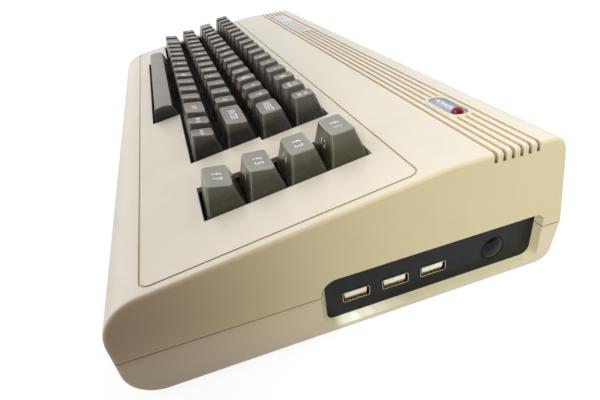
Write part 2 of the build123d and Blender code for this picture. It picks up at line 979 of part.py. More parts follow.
def side_port_panel():
    """Black panel behind the recess, with holes for the sockets and the button."""
    high = bottom + recess_floor + recess_height + panel_overlap
    length = recess_rear - recess_front + 2 * panel_overlap
    with BuildPart() as plate:
        with BuildSketch(Plane.YZ.offset(port_face - panel_thickness)):
            with Locations(((recess_front + recess_rear) / 2, (floor_z + high) / 2)):
                RectangleRounded(length, high - floor_z, panel_corner_radius)
            with Locations([(y, boards_z + usb_height / 2) for y in usb_centres()]):
                RectangleRounded(
                    usb_width + 2 * usb_fit,
                    usb_height + 2 * usb_fit,
                    usb_corner_radius + usb_fit,
                    mode=Mode.SUBTRACT,
                )
            with Locations((button_y, button_z)):
                Circle(button_radius + button_clearance, mode=Mode.SUBTRACT)
        extrude(amount=panel_thickness)
    return plate


def usb_inside():
    """Opening inside the metal shell of a side socket."""
    inner_radius = usb_corner_radius - usb_metal
    return RectangleRounded(usb_width - 2 * usb_metal, usb_height - 2 * usb_metal, inner_radius)


def usb_sockets():
    """Metal shells of the side sockets, standing on the side board."""
    back = port_face + usb_stand_out - usb_length
    with BuildPart() as sockets:
        with BuildSketch(Plane.YZ.offset(back)):
            with Locations([(y, boards_z + usb_height / 2) for y in usb_centres()]):
                RectangleRounded(usb_width, usb_height, usb_corner_radius)
        extrude(amount=usb_length)
        with BuildSketch(Plane.YZ.offset(back + usb_metal)):
            with Locations([(y, boards_z + usb_height / 2) for y in usb_centres()]):
                usb_inside()
        extrude(amount=usb_length, mode=Mode.SUBTRACT)
    return sockets


def usb_tongues():
    """Plastic block at the back of each side socket, with its contact tongue."""
    back = port_face + usb_stand_out - usb_length + usb_metal
    tongue_z = boards_z + usb_height - 2 * usb_metal - tongue_height / 2
    with BuildPart() as tongues:
        with BuildSketch(Plane.YZ.offset(back)):
            with Locations([(y, boards_z + usb_height / 2) for y in usb_centres()]):
                usb_inside()
        extrude(amount=tongue_back)
        with BuildSketch(Plane.YZ.offset(back)):
            with Locations([(y, tongue_z) for y in usb_centres()]):
                RectangleRounded(tongue_width, tongue_height, usb_corner_radius - usb_metal)
        extrude(amount=usb_length - usb_metal - tongue_recess)
    return tongues


def button_profile():
    """Half section of the push button: radius along x, height above its flange along z."""
    length = port_face + button_stand_out - flange_back
    edge = length - button_crown
    crown_radius = (button_radius**2 + button_crown**2) / (2 * button_crown)
    half_way = length - crown_radius + (crown_radius**2 - button_radius**2 / 4) ** 0.5
    with BuildSketch(Plane.XZ) as section:
        with BuildLine():
            ThreePointArc((0, length), (button_radius / 2, half_way), (button_radius, edge))
            Polyline(
                (button_radius, edge),
                (button_radius, flange_thickness),
                (flange_radius, flange_thickness),
                (flange_radius, 0),
                (button_stem_radius, 0),
                (button_stem_radius, -button_stem_length),
                (0, -button_stem_length),
                (0, length),
            )
        make_face()
        front_corner = section.vertices().filter_by(lambda corner: corner.X > button_radius / 2)
        fillet(front_corner.sort_by(Axis.Z)[-1], button_edge_radius)
    return section.sketch


def power_button():
    """Round push button: a crowned face, a flange behind the panel and a short stem."""
    with BuildPart() as turned:
        add(button_profile())
        revolve(axis=Axis.Z)
    with BuildPart(Plane((flange_back, button_y, button_z), x_dir=(0, 1, 0), z_dir=(1, 0, 0))) as button:
        add(turned.part)
    return button


def power_switch():
    """Small switch on the side board, its plunger just clear of the button at full press."""
    front_face = flange_back - button_stem_length - button_travel - plunger_gap - plunger_length
    with BuildPart() as switch:
        with BuildSketch(Plane.YZ.offset(front_face - switch_depth)):
            rectangle_between(
                button_y - switch_size / 2, button_y + switch_size / 2, boards_z, boards_z + switch_size
            )
        extrude(amount=switch_depth)
        with BuildSketch(Plane.YZ.offset(front_face)):
            with Locations((button_y, button_z)):
                Circle(plunger_radius)
        extrude(amount=plunger_length)
    return switch


# ---------------------------------------------------------------- boards


def side_board():
    """Board that carries the side sockets and the switch."""
    with BuildPart() as board:
        with BuildSketch(Plane.XY.offset(boards_z - board_thickness)):
            rectangle_between(
                side_board_left, side_board_right, side_board_front, side_board_front + side_board_length
            )
        extrude(amount=board_thickness)
    return board


def main_board():
    """Main board on its four standoffs."""
    with BuildPart() as board:
        with BuildSketch(Plane.XY.offset(boards_z - board_thickness)):
            rear_edge = rear_panel_y - rear_panel_thickness - main_board_gap
            rectangle_between(main_board_left, main_board_right, main_board_front, rear_edge)
        extrude(amount=board_thickness)
    return board


def main_chips():
    """Processor with its heat sink, memory, storage and power chips on the main board."""
    with BuildPart() as chips:
        for x, y, width, depth, height in chip_sizes:
            with BuildSketch(Plane.XY.offset(boards_z)):
                with Locations((main_board_left + x, main_board_front + y)):
                    Rectangle(width, depth)
            extrude(amount=height)
        with BuildSketch(Plane.XY.offset(boards_z + chip_sizes[0][4])):
            with Locations((main_board_left + chip_sizes[0][0], main_board_front + chip_sizes[0][1])):
                Rectangle(heat_sink_size, heat_sink_size)
        extrude(amount=heat_sink_base)
        fin_step = (heat_sink_size - fin_width) / (fin_count - 1)
        with BuildSketch(Plane.XY.offset(boards_z + chip_sizes[0][4] + heat_sink_base)):
            with Locations((main_board_left + chip_sizes[0][0], main_board_front + chip_sizes[0][1])):
                with GridLocations(fin_step, 0, fin_count, 1):
                    Rectangle(fin_width, heat_sink_size)
        extrude(amount=fin_height)
    return chips


def rear_sockets():
    """(x, width, height) of the sockets at the rear."""
    return (
        (video_x, video_width, usb_height),
        (rear_usb_x, usb_width, usb_height),
        (power_inlet_x, power_inlet_width, power_inlet_height),
    )


def rear_connectors():
    """Metal shells of the rear sockets, standing on the main board."""
    with BuildPart() as connectors:
        for x, width, height in rear_sockets():
            with BuildSketch(Plane.XZ.offset(-rear_panel_y)):
                with Locations((x, boards_z + height / 2)):
                    Rectangle(width, height)
            extrude(amount=rear_socket_length)
            with BuildSketch(Plane.XZ.offset(-rear_panel_y)):
                with Locations((x, boards_z + height / 2)):
                    Rectangle(width - 2 * usb_metal, height - 2 * usb_metal)
            extrude(amount=rear_socket_length - usb_metal, mode=Mode.SUBTRACT)
            with BuildSketch(Plane.XZ.offset(-rear_panel_y + rear_socket_length - usb_metal)):
                with Locations((x, boards_z + height / 2)):
                    Rectangle(width - 6 * usb_metal, height / 3)
            extrude(amount=-(rear_socket_length - usb_metal - tongue_recess))
    return connectors


def rear_port_panel():
    """Flat panel behind the rear window, with holes for the rear sockets."""
    with BuildPart() as plate:
        with BuildSketch(Plane.XZ.offset(-rear_panel_y)):
            rectangle_between(
                rear_window_left - rear_flange,
                rear_window_left + rear_window_width + rear_flange,
                bottom + rear_window_floor - rear_panel_overlap,
                bottom + rear_window_floor + rear_window_height + rear_panel_overlap,
            )
            for x, width, height in rear_sockets():
                with Locations((x, boards_z + height / 2)):
                    Rectangle(width + 2 * usb_fit, height + 2 * usb_fit, mode=Mode.SUBTRACT)
        extrude(amount=rear_panel_thickness)
    return plate


# ---------------------------------------------------------------- badges, lamp, cables, screws


def power_badge():
    """Plate in the rimmed seat, with a hole for the lamp."""
    shrink = 2 * (rim_width + badge_clearance)
    with BuildPart() as badge:
        with BuildSketch(Plane.XY.offset(top - badge_seat)):
            with Locations((power_badge_x, badge_y)):
                SlotOverall(power_badge_length - shrink, power_badge_width - shrink)
            with Locations((lamp_x, badge_y)):
                Circle(lamp_radius + lamp_clearance, mode=Mode.SUBTRACT)
        extrude(amount=badge_thickness)
    return badge


def power_lamp():
    """Lamp with a domed head above the badge and a flange under the shell."""
    under = top - wall
    head = top + lamp_stand_out
    with BuildPart() as lamp:
        with BuildSketch(Plane.XY.offset(under - lamp_body)):
            with Locations((lamp_x, badge_y)):
                Circle(lamp_radius)
        extrude(amount=head - under + lamp_body)
        fillet(lamp.faces().sort_by(Axis.Z)[-1].edges(), lamp_head_radius)
        with BuildSketch(Plane.XY.offset(under - lamp_flange_thickness)):
            with Locations((lamp_x, badge_y)):
                Circle(lamp_flange_radius)
        extrude(amount=lamp_flange_thickness)
    return lamp


def name_badge():
    """Long thin plate in its seat at the rear left."""
    length = name_badge_length - 2 * badge_clearance
    width = name_badge_width - 2 * badge_clearance
    with BuildPart() as badge:
        with BuildSketch(Plane.XY.offset(top - name_badge_seat)):
            with Locations((name_badge_left + name_badge_length / 2, badge_y)):
                RectangleRounded(length, width, name_badge_radius)
        extrude(amount=name_badge_seat + name_badge_stand_out)
    return badge


def plug(x, y, width, depth):
    """Plug on a board, given by its middle and size."""
    with BuildPart() as body:
        with BuildSketch(Plane.XY.offset(boards_z)):
            with Locations((x, y)):
                Rectangle(width, depth)
        extrude(amount=plug_height)
    return body.part


def ribbon(plane, points, width):
    """Flat cable of a width, traced along points on a plane."""
    with BuildPart() as strip:
        with BuildSketch(plane):
            with BuildLine() as route:
                FilletPolyline(*points, radius=ribbon_bend_radius)
            trace(route.line, line_width=ribbon_thickness)
        extrude(amount=width / 2, both=True)
    return strip.part


def ribbon_cables():
    """Keyboard ribbon, side board harness and lamp cable, with their plugs."""
    top_of_plug = boards_z + plug_height
    start = panel_point(ribbon_x, ribbon_start, matrix_bottom - plug_height)
    low_y = start[1] + ribbon_sway
    with BuildPart() as keyboard_ribbon:
        with BuildSketch(panel.offset(matrix_bottom - plug_height)):
            with Locations((ribbon_x, ribbon_start)):
                Rectangle(ribbon_width, plug_depth)
        extrude(amount=plug_height)
        add(plug(ribbon_x, low_y, ribbon_width, plug_depth))
        bend_high = start[2] - ribbon_straight
        bend_low = top_of_plug + ribbon_straight
        points = (
            (start[1], start[2] + ribbon_thickness),
            (start[1], bend_high),
            (low_y, bend_low),
            (low_y, top_of_plug),
        )
        add(ribbon(Plane.YZ.offset(ribbon_x), points, ribbon_width - 2))
    left = main_board_right - harness_reach
    right = side_board_left + harness_reach
    with BuildPart() as harness:
        add(plug(left, harness_y, plug_depth, harness_width))
        add(plug(right, harness_y, plug_depth, harness_width))
        crest = top_of_plug + harness_rise
        points = ((left, top_of_plug), (left, crest), (right, crest), (right, top_of_plug))
        add(ribbon(Plane.XZ.offset(-harness_y), points, harness_width - 2))
    lamp_bottom = top - wall - lamp_body
    low_y = badge_y - ribbon_sway
    with BuildPart() as lamp_cable:
        add(plug(lamp_x, low_y, lamp_cable_width + 2, plug_depth))
        points = (
            (badge_y, lamp_bottom),
            (badge_y, lamp_bottom - ribbon_straight),
            (low_y, top_of_plug + ribbon_straight),
            (low_y, top_of_plug),
        )
        add(ribbon(Plane.YZ.offset(lamp_x), points, lamp_cable_width))
    with BuildPart() as cables:
        add(keyboard_ribbon.part)
        add(harness.part)
        add(lamp_cable.part)
    return cables


def screws():
    """Case screws from below and keyboard screws through board and frame."""
    with BuildPart() as fasteners:
        seat = bottom + case_screw_seat
        with BuildSketch(Plane.XY.offset(seat)):
            with Locations(case_screw_places):
                Circle(case_screw_head_radius)
        extrude(amount=-case_screw_head_height)
        with BuildSketch(Plane.XY.offset(seat)):
            with Locations(case_screw_places):
                Circle(case_screw_radius)
        extrude(amount=seam + case_screw_bite - seat)
        with BuildSketch(panel.offset(matrix_bottom)):
            with Locations(screw_places):
                Circle(keyboard_screw_head_radius)
        extrude(amount=-keyboard_screw_head_height)
        with BuildSketch(panel.offset(matrix_bottom)):
            with Locations(screw_places):
                Circle(keyboard_screw_radius)
        extrude(amount=keyboard_screw_bite - plate_depth - matrix_bottom)
    return fasteners


os.makedirs("parts", exist_ok=True)
case_block = solid_case()
hollow_case = case_walls(case_block)
save(upper_shell(case_block, hollow_case), "upper_shell")
save(lower_shell(case_block, hollow_case), "lower_shell")
save(rubber_feet(), "rubber_feet")
save(keyboard_frame(), "keyboard_frame")
save(key_matrix_board(), "key_matrix_board")
save(dome_sheet(), "dome_sheet")
save(side_port_panel(), "side_port_panel")
save(usb_sockets(), "usb_sockets")
save(usb_tongues(), "usb_tongues")
save(power_button(), "power_button")
save(power_switch(), "power_switch")
save(side_board(), "side_board")
save(main_board(), "main_board")
save(main_chips(), "main_chips")
save(rear_connectors(), "rear_connectors")
save(rear_port_panel(), "rear_port_panel")
save(power_badge(), "power_badge")
save(power_lamp(), "power_lamp")
save(name_badge(), "name_badge")
save(ribbon_cables(), "ribbon_cables")
save(screws(), "screws")
for name, node in key_nodes().items():
    save(node, name)
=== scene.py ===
"""Home computer: materials, key legends, badge and socket details, light and camera."""
import random
from math import cos, pi, radians, sin

import bpy
from mathutils import Matrix, Vector
from mathutils.bvhtree import BVHTree

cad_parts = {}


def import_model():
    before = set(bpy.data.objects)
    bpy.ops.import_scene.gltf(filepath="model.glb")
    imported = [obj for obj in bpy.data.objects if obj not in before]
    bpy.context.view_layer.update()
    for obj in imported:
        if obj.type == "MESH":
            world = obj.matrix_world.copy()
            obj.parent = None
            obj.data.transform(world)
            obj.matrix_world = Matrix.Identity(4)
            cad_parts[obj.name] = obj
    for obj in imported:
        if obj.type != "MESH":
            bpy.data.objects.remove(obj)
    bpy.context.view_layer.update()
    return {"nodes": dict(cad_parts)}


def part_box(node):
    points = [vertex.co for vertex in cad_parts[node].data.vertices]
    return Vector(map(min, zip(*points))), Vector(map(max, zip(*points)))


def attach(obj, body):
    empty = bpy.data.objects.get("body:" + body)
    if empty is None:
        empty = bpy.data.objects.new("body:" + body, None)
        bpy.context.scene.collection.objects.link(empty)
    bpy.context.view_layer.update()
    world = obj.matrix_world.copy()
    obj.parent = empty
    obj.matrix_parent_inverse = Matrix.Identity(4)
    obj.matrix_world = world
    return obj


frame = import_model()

nodes = frame["nodes"]
MM = 0.001

# Panel plane of the keyboard, as in the CAD frame, in millimetres
FRONT = -101.5
PANEL_HEIGHT = 50.2
PANEL_SLOPE = radians(8.2)
ACROSS = Vector((1, 0, 0))
REARWARD = Vector((0, 1, 0))
DOWN = Vector((0, 0, -1))
UP_PANEL = Vector((0, cos(PANEL_SLOPE), sin(PANEL_SLOPE)))
OUT = Vector((0, -sin(PANEL_SLOPE), cos(PANEL_SLOPE)))
PANEL_OUT = OUT.y * FRONT + OUT.z * PANEL_HEIGHT

# Keys, in millimetres: middle of each row up the panel, and the heights between which their sides
# turn from plain to a painted highlight
ROWS = (56.625, 75.675, 94.725, 113.775)
KEY_PITCH = 19.05
CAP_GAP = 0.85
SIDE_HIGHLIGHT_FROM = 3.5
SIDE_HIGHLIGHT_TO = 10.5

# Middle of the seam, the port recess, the power badge, its lamp and the side sockets, in millimetres
SEAM_Z = 24.65
RECESS_Y = 36.2
RECESS_Z = 21.0
BADGE_X = 150.2
BADGE_Y = 71.96
LAMP_X = 158.4
SOCKETS_Y = (-0.595, 18.445, 37.485)


def panel_point(x, y, height):
    """A place above the panel, in metres: x across it, y up it and height out of it, in millimetres."""
    origin = Vector((x, FRONT, PANEL_HEIGHT))
    return (origin + UP_PANEL * y + OUT * height) * MM


# ---------------------------------------------------------------- materials

def linear(r, g, b):
    """Linear colour of an 8-bit sRGB one."""
    def one(value):
        value /= 255
        return value / 12.92 if value <= 0.04045 else ((value + 0.055) / 1.055) ** 2.4
    return (one(r), one(g), one(b), 1.0)


def scaled(colour, factor, lift=0.0):
    """The colour made paler or darker, no brighter than white."""
    return tuple(min(1.0, part * factor + lift) for part in colour[:3]) + (1.0,)


def feed(tree, socket, value):
    """Link the value to the socket if it is a socket too, and set it there if it isn't."""
    if isinstance(value, bpy.types.NodeSocket):
        tree.links.new(value, socket)
    else:
        socket.default_value = value


def add_node(tree, kind, inputs=None, **values):
    made = tree.nodes.new("ShaderNode" + kind)
    for name, value in values.items():
        setattr(made, name, value)
    for key, value in (inputs or {}).items():
        feed(tree, made.inputs[key], value)
    return made


class Material:
    """A node material with short calls for its nodes."""

    def __init__(self, name):
        self.material = bpy.data.materials.new(name)
        self.material.use_nodes = True
        self.tree = self.material.node_tree
        self.tree.nodes.clear()
        self.output = self.node("OutputMaterial")
        self.shader = self.node("BsdfPrincipled")
        feed(self.tree, self.output.inputs["Surface"], self.shader.outputs[0])
        self.place = self.node("TexCoord").outputs["Object"]

    def node(self, kind, inputs=None, **values):
        return add_node(self.tree, kind, inputs, **values)

    def set(self, name, value):
        feed(self.tree, self.shader.inputs[name], value)

    def noise(self, scale, detail=3.0, roughness=0.55, stretch=None):
        place = self.place
        if stretch:
            place = self.node("Mapping", {"Vector": self.place, "Scale": stretch}).outputs[0]
        made = self.node("TexNoise", {
            "Vector": place, "Scale": scale, "Detail": detail, "Roughness": roughness,
        })
        return made.outputs["Fac"]

    def ramp(self, value, low, high, start=0.0, end=1.0):
        """value between low and high, smoothly mapped to start and end."""
        made = self.node("MapRange", {
            "Value": value, "From Min": low, "From Max": high, "To Min": start, "To Max": end,
        }, interpolation_type="SMOOTHSTEP")
        return made.outputs["Result"]

    def mix(self, factor, first, second):
        """Colour between first and second."""
        return self.node("Mix", {0: factor, 6: first, 7: second}, data_type="RGBA").outputs[2]

    def math(self, operation, first, second=0.0):
        return self.node("Math", {0: first, 1: second}, operation=operation).outputs[0]

    def product(self, first, *others):
        for other in others:
            first = self.math("MULTIPLY", first, other)
        return first

    def axis(self, name):
        """One coordinate of the place on the object, in metres."""
        return self.node("SeparateXYZ", {0: self.place}).outputs[name]

    def facing(self, name):
        """One component of the surface normal."""
        normal = self.node("NewGeometry").outputs["Normal"]
        return self.node("SeparateXYZ", {0: normal}).outputs[name]

    def along(self, name, low, high, start=0.0, end=1.0):
        """start to end between two places on an axis, in millimetres."""
        return self.ramp(self.axis(name), low * MM, high * MM, start, end)

    def away(self, name, middle, low, high, start=1.0, end=0.0):
        """start to end between two distances from a place on an axis, in millimetres."""
        distance = self.math("ABSOLUTE", self.math("SUBTRACT", self.axis(name), middle * MM))
        return self.ramp(distance, low * MM, high * MM, start, end)

    def edges(self, radius, low=0.02, high=0.3):
        """1 on convex and concave edges, 0 on flat ground."""
        soft = self.node("Bevel", {"Radius": radius}, samples=4).outputs[0]
        hard = self.node("NewGeometry").outputs["Normal"]
        dot = self.node("VectorMath", {0: soft, 1: hard}, operation="DOT_PRODUCT").outputs["Value"]
        return self.ramp(self.math("SUBTRACT", 1.0, dot), low, high)

    def crevices(self, distance, low=0.3, high=0.9):
        """1 in narrow grooves and corners, 0 in the open."""
        shade = self.node("AmbientOcclusion", {"Distance": distance}, samples=6, only_local=True)
        return self.ramp(shade.outputs["AO"], low, high, 1.0, 0.0)

    def bump(self, height, distance, strength=1.0, under=None):
        inputs = {"Height": height, "Distance": distance, "Strength": strength}
        if under:
            inputs["Normal"] = under
        return self.node("Bump", inputs).outputs[0]


def case_plastic():
    """Aged cream plastic: sides yellower from ageing and tops paler, partly a painted sheen; painted shade
    at the front of the sides, painted light at their foot and in the port recess; tan dust with painted
    shade in its grooves.
    """
    fresh_tone_and_sheen, aged = linear(226, 219, 203), linear(216, 206, 168)
    painted_front_shade, foot, recess_painted_light = linear(164, 128, 110), linear(232, 217, 202), linear(248, 240, 196)
    stain, speck, worn = linear(190, 176, 136), linear(180, 168, 132), linear(240, 236, 222)
    panel_dust, rear_dust, side_slot_shade = linear(168, 148, 80), linear(212, 184, 110), linear(104, 70, 20)
    seam_shade = linear(122, 90, 42)

    m = Material("case")
    # Sides and rear faces yellower from ageing; the paler tops also stand in for a painted sheen
    side = m.ramp(m.math("ABSOLUTE", m.facing("X")), 0.25, 0.85)
    rear = m.ramp(m.facing("Y"), 0.3, 0.9, 0.0, 0.6)
    patches = m.ramp(m.noise(14, 2.0), 0.45, 0.75, 0.0, 0.12)
    colour = m.mix(m.math("ADD", m.math("MAXIMUM", side, rear), patches), fresh_tone_and_sheen, aged)
    # The sides are painted darker and warmer towards the front, a painted shade
    front = m.product(side, m.along("Y", -105, 0, 0.65, 0.0), m.along("Z", 10, 40, 0.15, 1.0))
    colour = m.mix(front, colour, painted_front_shade)
    # Painted light at the foot of the sides, as if lit from the floor
    colour = m.mix(m.product(side, m.along("Z", 20, 26, 0.4, 0.0)), colour, foot)
    # The port recess is painted paler, a painted light in its shaded hollow
    recess = m.product(
        m.along("X", 190, 192.5),
        m.along("X", 201.85, 201.98, 1.0, 0.0),
        m.away("Y", RECESS_Y, 54.5, 55.5),
        m.away("Z", RECESS_Z, 16.5, 17.5, 0.85),
    )
    colour = m.mix(recess, colour, recess_painted_light)
    colour = m.mix(m.ramp(m.noise(55, 4.0, 0.6), 0.5, 0.78, 0.0, 0.10), colour, stain)
    colour = m.mix(m.ramp(m.noise(900, 2.0, 0.5), 0.62, 0.75, 0.0, 0.10), colour, speck)
    colour = m.mix(m.product(m.edges(0.7 * MM), 0.25), colour, worn)
    # Dust and painted shade in the grooves where they are shaded: painted dark shade where the slots run
    # down the sides, and less of it round the rim of the badge
    dust = m.mix(m.along("Y", 44, 49), panel_dust, rear_dust)
    dust = m.mix(m.away("X", 0, 197.5, 199, 0.0, 1.0), dust, side_slot_shade)
    badge = m.product(m.away("X", BADGE_X, 14.5, 15.2), m.away("Y", BADGE_Y, 6.4, 7.0), 0.8)
    dust_and_shade = m.product(m.crevices(1.8 * MM, 0.32, 0.88), m.math("SUBTRACT", 0.95, badge))
    colour = m.mix(dust_and_shade, colour, dust)
    colour = m.mix(m.away("Z", SEAM_Z, 0.16, 0.36, 0.8), colour, seam_shade)
    m.set("Base Color", colour)
    m.set("Roughness", m.ramp(m.noise(130, 4.0), 0.3, 0.7, 0.38, 0.46))
    m.set("Specular IOR Level", 0.45)
    fine = m.bump(m.noise(2600, 2.0, 0.6), 0.03 * MM, 0.5)
    m.set("Normal", m.bump(m.noise(650, 3.0), 0.05 * MM, 0.4, fine))
    return m.material


def keycap_plastic(name, top, side, side_highlight, dust, edge, low, gloss):
    """Moulded keycap: finely textured top painted paler than the glossier sides as a painted sheen, painted
    highlights on the upper sides and the rims, shade at its foot.
    """
    m = Material(name)
    steep = m.ramp(m.facing("Z"), 0.55, 0.9, 1.0, 0.0)
    height = m.node("VectorMath", {0: m.place, 1: tuple(OUT)}, operation="DOT_PRODUCT").outputs["Value"]
    # Sides painted lighter towards the top, a painted highlight
    side_highlight_mask = m.ramp(height, (PANEL_OUT + SIDE_HIGHLIGHT_FROM) * MM, (PANEL_OUT + SIDE_HIGHLIGHT_TO) * MM)
    # Tops painted paler than the sides, a painted sheen
    colour = m.mix(steep, top, m.mix(side_highlight_mask, side, side_highlight))
    colour = m.mix(m.ramp(m.noise(38, 2.0), 0.35, 0.7, 0.0, 0.3), colour, dust)
    colour = m.mix(m.ramp(m.noise(1500, 4.0, 0.7), 0.55, 0.8, 0.0, 0.25), colour, edge)
    # Painted highlight along the rims and edges of the keys
    colour = m.mix(m.product(m.edges(1.4 * MM, 0.01, 0.14), 0.55), colour, edge)
    colour = m.mix(m.ramp(m.crevices(8 * MM, 0.15, 0.8), 0.0, 1.0, 0.0, 0.8), colour, low)
    m.set("Base Color", colour)
    worn = m.ramp(m.noise(160, 3.0), 0.35, 0.65, 0.0, 0.05)
    m.set("Roughness", m.math("ADD", m.ramp(steep, 0.0, 1.0, 0.40, 0.24), worn))
    m.set("Specular IOR Level", gloss)
    grain = m.ramp(steep, 0.0, 1.0, 0.45, 0.12)
    m.set("Normal", m.bump(m.noise(2600, 2.0, 0.6), 0.03 * MM, grain))
    return m.material


def plain_plastic(name, colour, second, roughness, grain, depth, specular):
    """A moulded or coated surface with slow and fine variation."""
    m = Material(name)
    mixed = m.mix(m.ramp(m.noise(70, 3.0), 0.35, 0.7), colour, second)
    dust = m.ramp(m.noise(grain, 3.0, 0.7), 0.55, 0.85, 0.0, 0.2)
    m.set("Base Color", m.mix(dust, mixed, scaled(second, 1.6, 0.02)))
    m.set("Roughness", m.ramp(m.noise(240, 4.0), 0.3, 0.7, roughness - 0.07, roughness + 0.09))
    m.set("Specular IOR Level", specular)
    m.set("Normal", m.bump(m.noise(grain * 2, 3.0), depth * MM, 0.6))
    return m.material


def brushed_metal(name, colour, second, roughness, stretch, metallic):
    """Metal with fine lines across the direction in which its noise is stretched, and a few stains."""
    m = Material(name)
    lines = m.noise(900, 3.0, 0.6, stretch)
    mixed = m.mix(m.ramp(lines, 0.3, 0.7), colour, second)
    stain = m.ramp(m.noise(120, 4.0, 0.6), 0.55, 0.8, 0.0, 0.3)
    m.set("Base Color", m.mix(stain, mixed, scaled(second, 0.6)))
    m.set("Metallic", metallic)
    m.set("Roughness", m.ramp(lines, 0.3, 0.7, roughness - 0.06, roughness + 0.08))
    m.set("Normal", m.bump(lines, 0.01 * MM, 0.5))
    return m.material


def circuit_board():
    """Green board with its tracks."""
    m = Material("board")
    cells = {"feature": "DISTANCE_TO_EDGE", "distance": "MANHATTAN"}
    tracks = m.node("TexVoronoi", {"Vector": m.place, "Scale": 420}, **cells)
    lines = m.ramp(tracks.outputs["Distance"], 0.02, 0.08, 1.0, 0.0)
    mask = m.ramp(m.noise(120, 2.0), 0.4, 0.6)
    m.set("Base Color", m.mix(m.product(lines, mask), linear(20, 62, 40), linear(46, 104, 62)))
    m.set("Roughness", m.ramp(m.noise(300, 3.0), 0.3, 0.7, 0.3, 0.45))
    m.set("Normal", m.bump(lines, 0.03 * MM, 0.5))
    return m.material


def lamp_lens():
    """Dark clear red."""
    m = Material("lamp")
    colour = m.mix(m.ramp(m.noise(500, 2.0), 0.3, 0.7), linear(92, 0, 2), linear(138, 2, 6))
    m.set("Base Color", colour)
    m.set("Roughness", m.ramp(m.noise(800, 2.0), 0.3, 0.7, 0.08, 0.16))
    m.set("Specular IOR Level", 0.25)
    m.set("Coat Weight", 0.1)
    m.set("Coat Roughness", 0.05)
    m.set("Normal", m.bump(m.noise(900, 2.0), 0.02 * MM, 0.4))
    return m.material


def badge_face():
    """Blue-grey printed metal, darker towards its rear edge."""
    m = Material("badge")
    lines = m.noise(700, 3.0, 0.6, (0.15, 1.0, 1.0))
    colour = m.mix(m.ramp(lines, 0.3, 0.7), linear(132, 136, 158), linear(150, 154, 176))
    colour = m.mix(m.product(m.along("Y", 73.5, 76.8), 0.45), colour, linear(78, 78, 88))
    m.set("Base Color", colour)
    m.set("Metallic", 0.25)
    m.set("Roughness", m.ramp(m.noise(500, 3.0), 0.3, 0.7, 0.3, 0.42))
    m.set("Normal", m.bump(lines, 0.01 * MM, 0.5))
    return m.material


def ribbon_plastic():
    """Flat grey cable with its wires side by side."""
    m = Material("ribbon")
    waves = {"Vector": m.place, "Scale": 400.0, "Distortion": 0.0}
    wires = m.node("TexWave", waves, wave_type="BANDS", bands_direction="X").outputs["Fac"]
    m.set("Base Color", m.mix(m.ramp(wires, 0.2, 0.8), linear(150, 150, 150), linear(186, 186, 182)))
    m.set("Roughness", m.ramp(m.noise(300, 3.0), 0.3, 0.7, 0.4, 0.55))
    m.set("Normal", m.bump(wires, 0.1 * MM, 0.7))
    return m.material


finishes = {
    "case": case_plastic(),
    "key": keycap_plastic(
        "key",
        top=linear(116, 108, 101),
        side=linear(30, 26, 22),
        side_highlight=linear(98, 93, 82),
        dust=linear(96, 88, 81),
        edge=linear(176, 170, 160),
        low=linear(5, 4, 3),
        gloss=0.4,
    ),
    "function_key": keycap_plastic(
        "function_key",
        top=linear(138, 138, 128),
        side=linear(66, 62, 48),
        side_highlight=linear(104, 102, 86),
        dust=linear(92, 88, 72),
        edge=linear(206, 204, 192),
        low=linear(12, 10, 7),
        gloss=0.5,
    ),
    "board": circuit_board(),
    "badge": badge_face(),
    "lamp": lamp_lens(),
    "ribbon": ribbon_plastic(),
}

# Colour, second colour, roughness, scale of the grain, its depth in millimetres, specular level
plastics = {
    "foot": ((38, 38, 38), (56, 55, 52), 0.75, 700, 0.08, 0.5),
    "frame": ((16, 15, 15), (26, 25, 24), 0.6, 800, 0.04, 0.3),
    "dome": ((196, 192, 184), (178, 172, 160), 0.5, 600, 0.03, 0.5),
    "port_panel": ((12, 14, 15), (20, 22, 23), 0.4, 1100, 0.03, 0.22),
    "tongue": ((255, 254, 244), (250, 247, 232), 0.4, 1400, 0.02, 0.5),
    "chip": ((28, 28, 30), (46, 46, 48), 0.5, 1500, 0.02, 0.5),
    "button": ((5, 6, 6), (9, 10, 10), 0.16, 900, 0.01, 0.2),
    "legend_ink": ((252, 246, 242), (230, 220, 218), 0.5, 1600, 0.01, 0.5),
    "function_ink": ((252, 252, 248), (232, 232, 226), 0.5, 1600, 0.01, 0.5),
    "mark_ink": ((232, 190, 150), (206, 160, 124), 0.5, 1600, 0.01, 0.5),
    "badge_ink": ((244, 244, 240), (226, 226, 222), 0.4, 1200, 0.01, 0.5),
    "carrier_plastic": ((104, 76, 38), (84, 60, 30), 0.5, 1000, 0.03, 0.5),
    "stripe_teal": ((140, 206, 206), (124, 192, 194), 0.42, 1500, 0.01, 0.5),
    "stripe_sage": ((176, 206, 148), (160, 192, 136), 0.42, 1500, 0.01, 0.5),
    "stripe_sand": ((232, 206, 140), (220, 190, 124), 0.42, 1500, 0.01, 0.5),
    "stripe_rose": ((220, 142, 142), (206, 124, 128), 0.42, 1500, 0.01, 0.5),
    "dot_ink": ((176, 198, 224), (160, 184, 212), 0.42, 1500, 0.01, 0.5),
}
# Colour, second colour, roughness, scale of the lines along each axis, metallic
metals = {
    "metal": ((176, 172, 160), (140, 136, 124), 0.26, (1.0, 0.2, 1.0), 1.0),
    "plate": ((222, 226, 228), (206, 212, 218), 0.45, (0.1, 1.0, 1.0), 0.05),
    "screw": ((150, 150, 150), (110, 110, 112), 0.34, (1.0, 1.0, 0.2), 1.0),
    "contact_metal": ((206, 176, 112), (180, 146, 86), 0.35, (0.2, 1.0, 1.0), 0.6),
}
for table, make in ((plastics, plain_plastic), (metals, brushed_metal)):
    for name, (colour, second, *values) in table.items():
        finishes[name] = make(name, linear(*colour), linear(*second), *values)

for node in nodes.values():
    for slot in node.material_slots:
        slot.material = finishes[slot.material.name.split(".")[0]]


# ------------------------------------------------------------ mesh helpers

